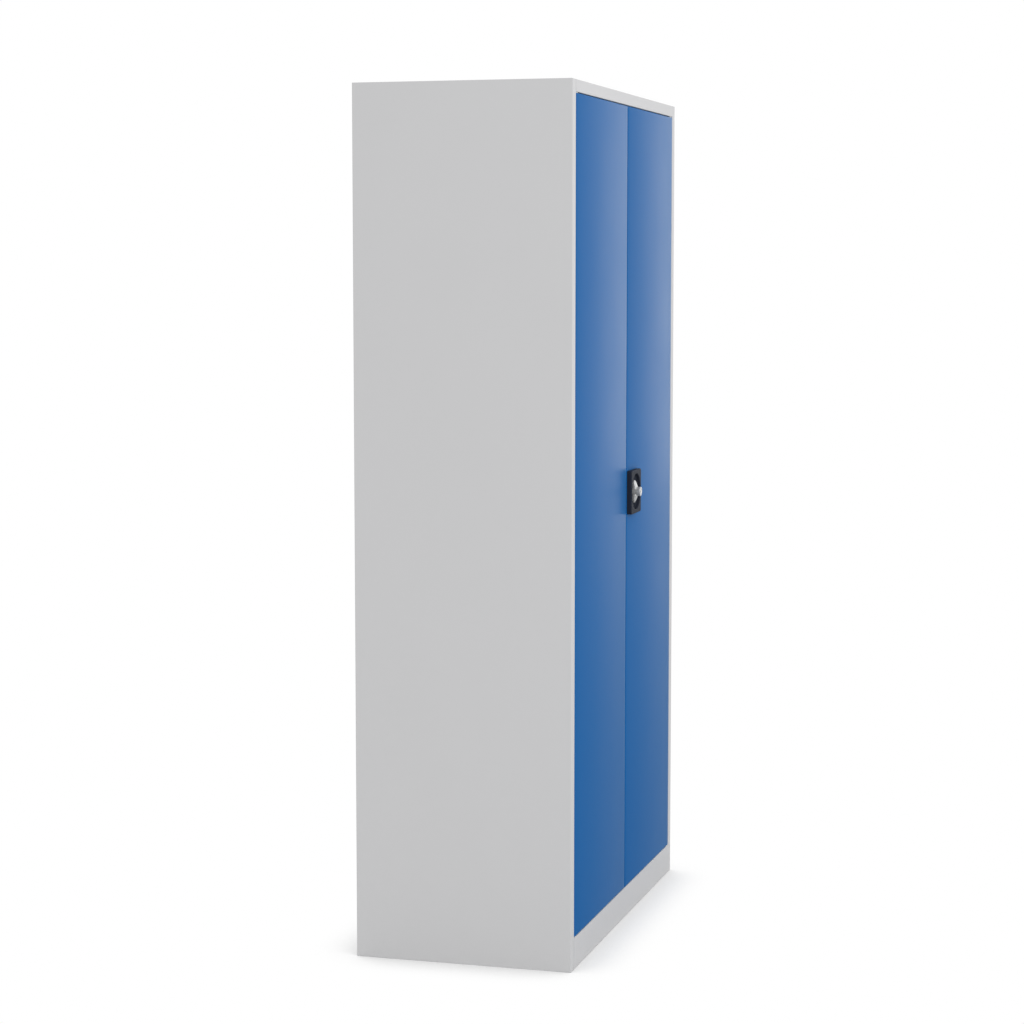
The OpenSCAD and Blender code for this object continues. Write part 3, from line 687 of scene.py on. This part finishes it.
def hub():
    rim = hub_radius - HUB_CHAMFER
    return turned([(0, hub_front), (rim, hub_front), (hub_radius, hub_front - HUB_CHAMFER),
                   (hub_radius, hub_back), (0, hub_back)])


handle = new_object("wing_casting", moved(wings(), lock_axis))
carve(handle, moved(hub(), lock_axis), "UNION")
skin = handle.modifiers.new("cast skin", "REMESH")
skin.mode = "VOXEL"
skin.voxel_size = CASTING_VOXEL
flow = handle.modifiers.new("fillets", "SMOOTH")
flow.factor = 0.5
flow.iterations = 8
settle(handle)
carve(handle, moved(disc(BARREL_RADIUS + BUSH_PLAY, hub_front + MM, DISH_FLOOR), plug_axis))
carve(handle, moved(disc(PLUG_RADIUS + BUSH_PLAY, DISH_FLOOR + MM, door_face - cam_low.y), plug_axis))
carve(handle, moved(lug_room(LUG_PLAY), plug_axis))
square_low, square_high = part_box("spindle")
play = Vector((BUSH_PLAY, BUSH_PLAY, BUSH_PLAY))
carve(handle, box_mesh(square_low - play, square_high + play))
finish_piece(handle, "handle", "silver_handle", "wing_handle")

# %% [markdown]
# ## Lock cylinder and key plug
#
# The cylinder is a turned sleeve with a small bezel, and the plug that takes the key turns in
# it. Both are lathe work, so both are spun outlines with their edges just broken. The keyway is
# a slot with a side ward, as in any flat-key lock.

# %% Cylinder and plug
PLUG_RECESS = 0.5 * MM
KEYWAY = (1.6 * MM, 6.4 * MM)
WARD = (0.8 * MM, 1.4 * MM)
KEYWAY_DEPTH = 12 * MM
BROKEN_EDGE = 0.2 * MM

front = hub_front + BEZEL
sleeve_inner = PLUG_RADIUS + BUSH_PLAY
sleeve = turned([(sleeve_inner, front), (BARREL_RADIUS + BEZEL, front), (BARREL_RADIUS + BEZEL, hub_front),
                 (BARREL_RADIUS, hub_front), (BARREL_RADIUS, DISH_FLOOR + BUSH_PLAY),
                 (sleeve_inner, DISH_FLOOR + BUSH_PLAY)], closed=True)
round_edges(sleeve, BROKEN_EDGE)
finish_piece(new_object("lock_sleeve", moved(sleeve, plug_axis)), "handle", "chrome_lock", "lock_barrel")

plug_face = front - PLUG_RECESS
plug_bm = disc(PLUG_RADIUS, plug_face, door_face - cam_low.y)
round_edges(plug_bm, BROKEN_EDGE)
plug = new_object("key_plug_turned", moved(plug_bm, plug_axis))
for (width, height), shift in ((KEYWAY, 0), (WARD, KEYWAY[0] / 2)):
    low = Vector((shift - width / 2, -plug_face - MM, -height / 2))
    high = Vector((shift + width / 2, KEYWAY_DEPTH - plug_face, height / 2))
    carve(plug, moved(box_mesh(low, high), plug_axis))
finish_piece(plug, "key_plug", "chrome_lock", "key_plug")

# %% [markdown]
# ## Screws
#
# Two pan-head screws hold the cover of the lock case. Each is one turned outline, a low dome and
# a shank, and two crossed blades cut the recess.

# %% Cover screws
HEAD_RADIUS = 3 * MM
HEAD_HEIGHT = 1.5 * MM
SHANK_RADIUS = 1.5 * MM
SHANK_LENGTH = 6.5 * MM
DOME = ((0, 1), (0.6, 0.92), (0.9, 0.6))
RECESS_WIDTH = 0.7 * MM
RECESS_SPAN = 3.3 * MM
RECESS_DEPTH = 1.1 * MM


def screw(place):
    """A screw with its head towards the back of the cabinet, its seat at place."""
    dome = [(HEAD_RADIUS * out, -HEAD_HEIGHT * up) for out, up in DOME]
    shank = [(HEAD_RADIUS, 0), (SHANK_RADIUS, 0), (SHANK_RADIUS, SHANK_LENGTH), (0, SHANK_LENGTH)]
    thing = new_object("cover_screw", moved(turned(dome + shank, steps=32), place))
    for width, height in ((RECESS_WIDTH, RECESS_SPAN), (RECESS_SPAN, RECESS_WIDTH)):
        low = Vector((-width / 2, HEAD_HEIGHT - RECESS_DEPTH, -height / 2))
        high = Vector((width / 2, HEAD_HEIGHT + MM, height / 2))
        carve(thing, moved(box_mesh(low, high), place))
    return thing


screws_low, screws_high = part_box("cover_screws")
seat = screws_high.y - HEAD_HEIGHT
first = screw(Vector((screws_low.x + HEAD_RADIUS, seat, screws_high.z - HEAD_RADIUS)))
second = screw(Vector((screws_high.x - HEAD_RADIUS, seat, screws_low.z + HEAD_RADIUS)))
pair = bmesh.new()
pair.from_mesh(first.data)
pair.from_mesh(second.data)
for thing in (first, second):
    bpy.data.objects.remove(thing)
finish_piece(new_object("cover_screw_pair", pair), "right_door", "zinc_steel", "cover_screws")

# %% [markdown]
# ## The studio
#
# The picture is a plain white one: light from everywhere, hardly any shadow. A white world does
# most of it. The floor is a real matt surface close to the cabinet, where it takes the soft
# contact shadow, and goes over to plain white further out, so that it has no visible end. In
# what shines, the floor is a glow painted dimmer near the cabinet than far out. This is a painted
# shade that no lamp casts, and it makes the gloss on the doors fade towards their feet.
#
# Three soft lamps help. One in front and one above give a slight fall of light. The third is far
# out at the right, almost in the plane of the doors, and the doors mirror it at a glancing angle.

# %% World and floor
AMBIENT = 0.93
FLOOR_HALF = 30
FLOOR_DROP = 0.3 * MM
FLOOR_TONE = 0.8
SHADOW_REACH = 0.16
SHADOW_RANGE = (0.35, 0.92)
# Painted shade on the floor, seen only in what shines: the distances over which it fades out, and its level
# next to the cabinet.
PAINTED_SHADE_RANGE = (0.5, 10)
PAINTED_SHADE_LEVEL = 0.35


def ray_kinds(nodes):
    """1 or 0 for each kind of ray that shows the background.

    They are the camera's own, one off a shiny surface and one through a clear one.
    """
    path = nodes.add("ShaderNodeLightPath")
    names = ("Is Camera Ray", "Is Glossy Ray", "Is Transmission Ray")
    return [Value(nodes, path.socket.node.outputs[name]) for name in names]


def seen_as_white(nodes):
    camera_ray, glossy, through = ray_kinds(nodes)
    return camera_ray.larger(glossy).larger(through)


world = bpy.data.worlds.new("white_studio")
world.use_nodes = True
bpy.context.scene.world = world
air = Nodes(world.node_tree)
air_level = seen_as_white(air) * (1 - AMBIENT) + AMBIENT
background = air.add("ShaderNodeBackground", None, {"Color": (1, 1, 1, 1), "Strength": air_level})
air.add("ShaderNodeOutputWorld", None, {"Surface": background})

floor_material = bpy.data.materials.new("studio_floor")
floor_material.use_nodes = True
ground = Nodes(floor_material.node_tree)
openness = ground.add("ShaderNodeAmbientOcclusion", {"samples": 12}, {"Distance": SHADOW_REACH}, "AO")
distance = ground.add("ShaderNodeVectorMath", {"operation": "LENGTH"}, {0: ground.place()}, "Value")
# Painted shade: in reflections the floor glows at 0.35 of white near the cabinet and rises to full white
# ten metres out. No lamp casts this shade.
mirrored_painted_shade = distance.spread(*PAINTED_SHADE_RANGE, PAINTED_SHADE_LEVEL, 1.0)
camera_ray, glossy, through = ray_kinds(ground)
white_level = camera_ray.larger(mirrored_painted_shade)
matt = ground.add("ShaderNodeBsdfDiffuse", None, {"Color": (FLOOR_TONE,) * 3 + (1,)})
white = ground.add("ShaderNodeEmission", None, {"Color": (1, 1, 1, 1), "Strength": white_level})
whiteness = (openness.spread(*SHADOW_RANGE) * camera_ray).larger(glossy).larger(through)
mixed = ground.add("ShaderNodeMixShader", None, {0: whiteness, 1: matt, 2: white})
ground.add("ShaderNodeOutputMaterial", None, {"Surface": mixed})

floor_bm = bmesh.new()
bmesh.ops.create_grid(floor_bm, x_segments=1, y_segments=1, size=FLOOR_HALF)
floor = new_object("studio_floor", moved(floor_bm, Vector((0, 0, -FLOOR_DROP))))
floor.data.materials.append(floor_material)
print("world at", AMBIENT, "of white, floor", FLOOR_HALF, "m each way")

# %% Lamps
def soft_lamp(name, place, target, size, watts):
    lamp = bpy.data.lights.new(name, "AREA")
    lamp.size = size
    lamp.energy = watts
    stand = bpy.data.objects.new(name, lamp)
    stand.location = place
    stand.rotation_euler = (Vector(target) - Vector(place)).to_track_quat("-Z", "Y").to_euler()
    bpy.context.scene.collection.objects.link(stand)
    print(name, "of", watts, "watts")


cabinet_low, cabinet_high = cad_box
cabinet_middle = (cabinet_low + cabinet_high) / 2
soft_lamp("front_lamp", (-2.2, -4.2, 3.4), cabinet_middle, 2.4, 56)
soft_lamp("top_lamp", (1.0, 0.6, 4.6), cabinet_middle, 3.0, 30)
soft_lamp("side_lamp", (6.5, -1.1, 1.6), cabinet_middle, 2.2, 13)

# %% [markdown]
# ## The camera
#
# The camera stands to the left, almost in the plane of the front, a little above the middle.
# Its place was fitted to the corners of the cabinet: with the lens below, the corners of the
# model fall on the corners in the picture.

# %% Camera
LENS = 88.53
SENSOR = 36.0
CAMERA_PLACE = Vector((-5.7497, -1.6263, 1.5453))
VIEW_TURN = math.radians(16.183)
VIEW_DOWN = math.radians(5.520)

looking = Vector((math.cos(VIEW_TURN) * math.cos(VIEW_DOWN), math.sin(VIEW_TURN) * math.cos(VIEW_DOWN),
                  -math.sin(VIEW_DOWN)))
camera_data = bpy.data.cameras.new("camera")
camera_data.lens = LENS
camera_data.sensor_width = SENSOR
camera_data.clip_end = 100
camera = bpy.data.objects.new("camera", camera_data)
camera.location = CAMERA_PLACE
camera.rotation_euler = looking.to_track_quat("-Z", "Y").to_euler()
bpy.context.scene.collection.objects.link(camera)
bpy.context.scene.camera = camera
bpy.context.scene.view_settings.view_transform = "Standard"
print("camera", round((CAMERA_PLACE - cabinet_middle).length, 2), "m from the cabinet's middle")
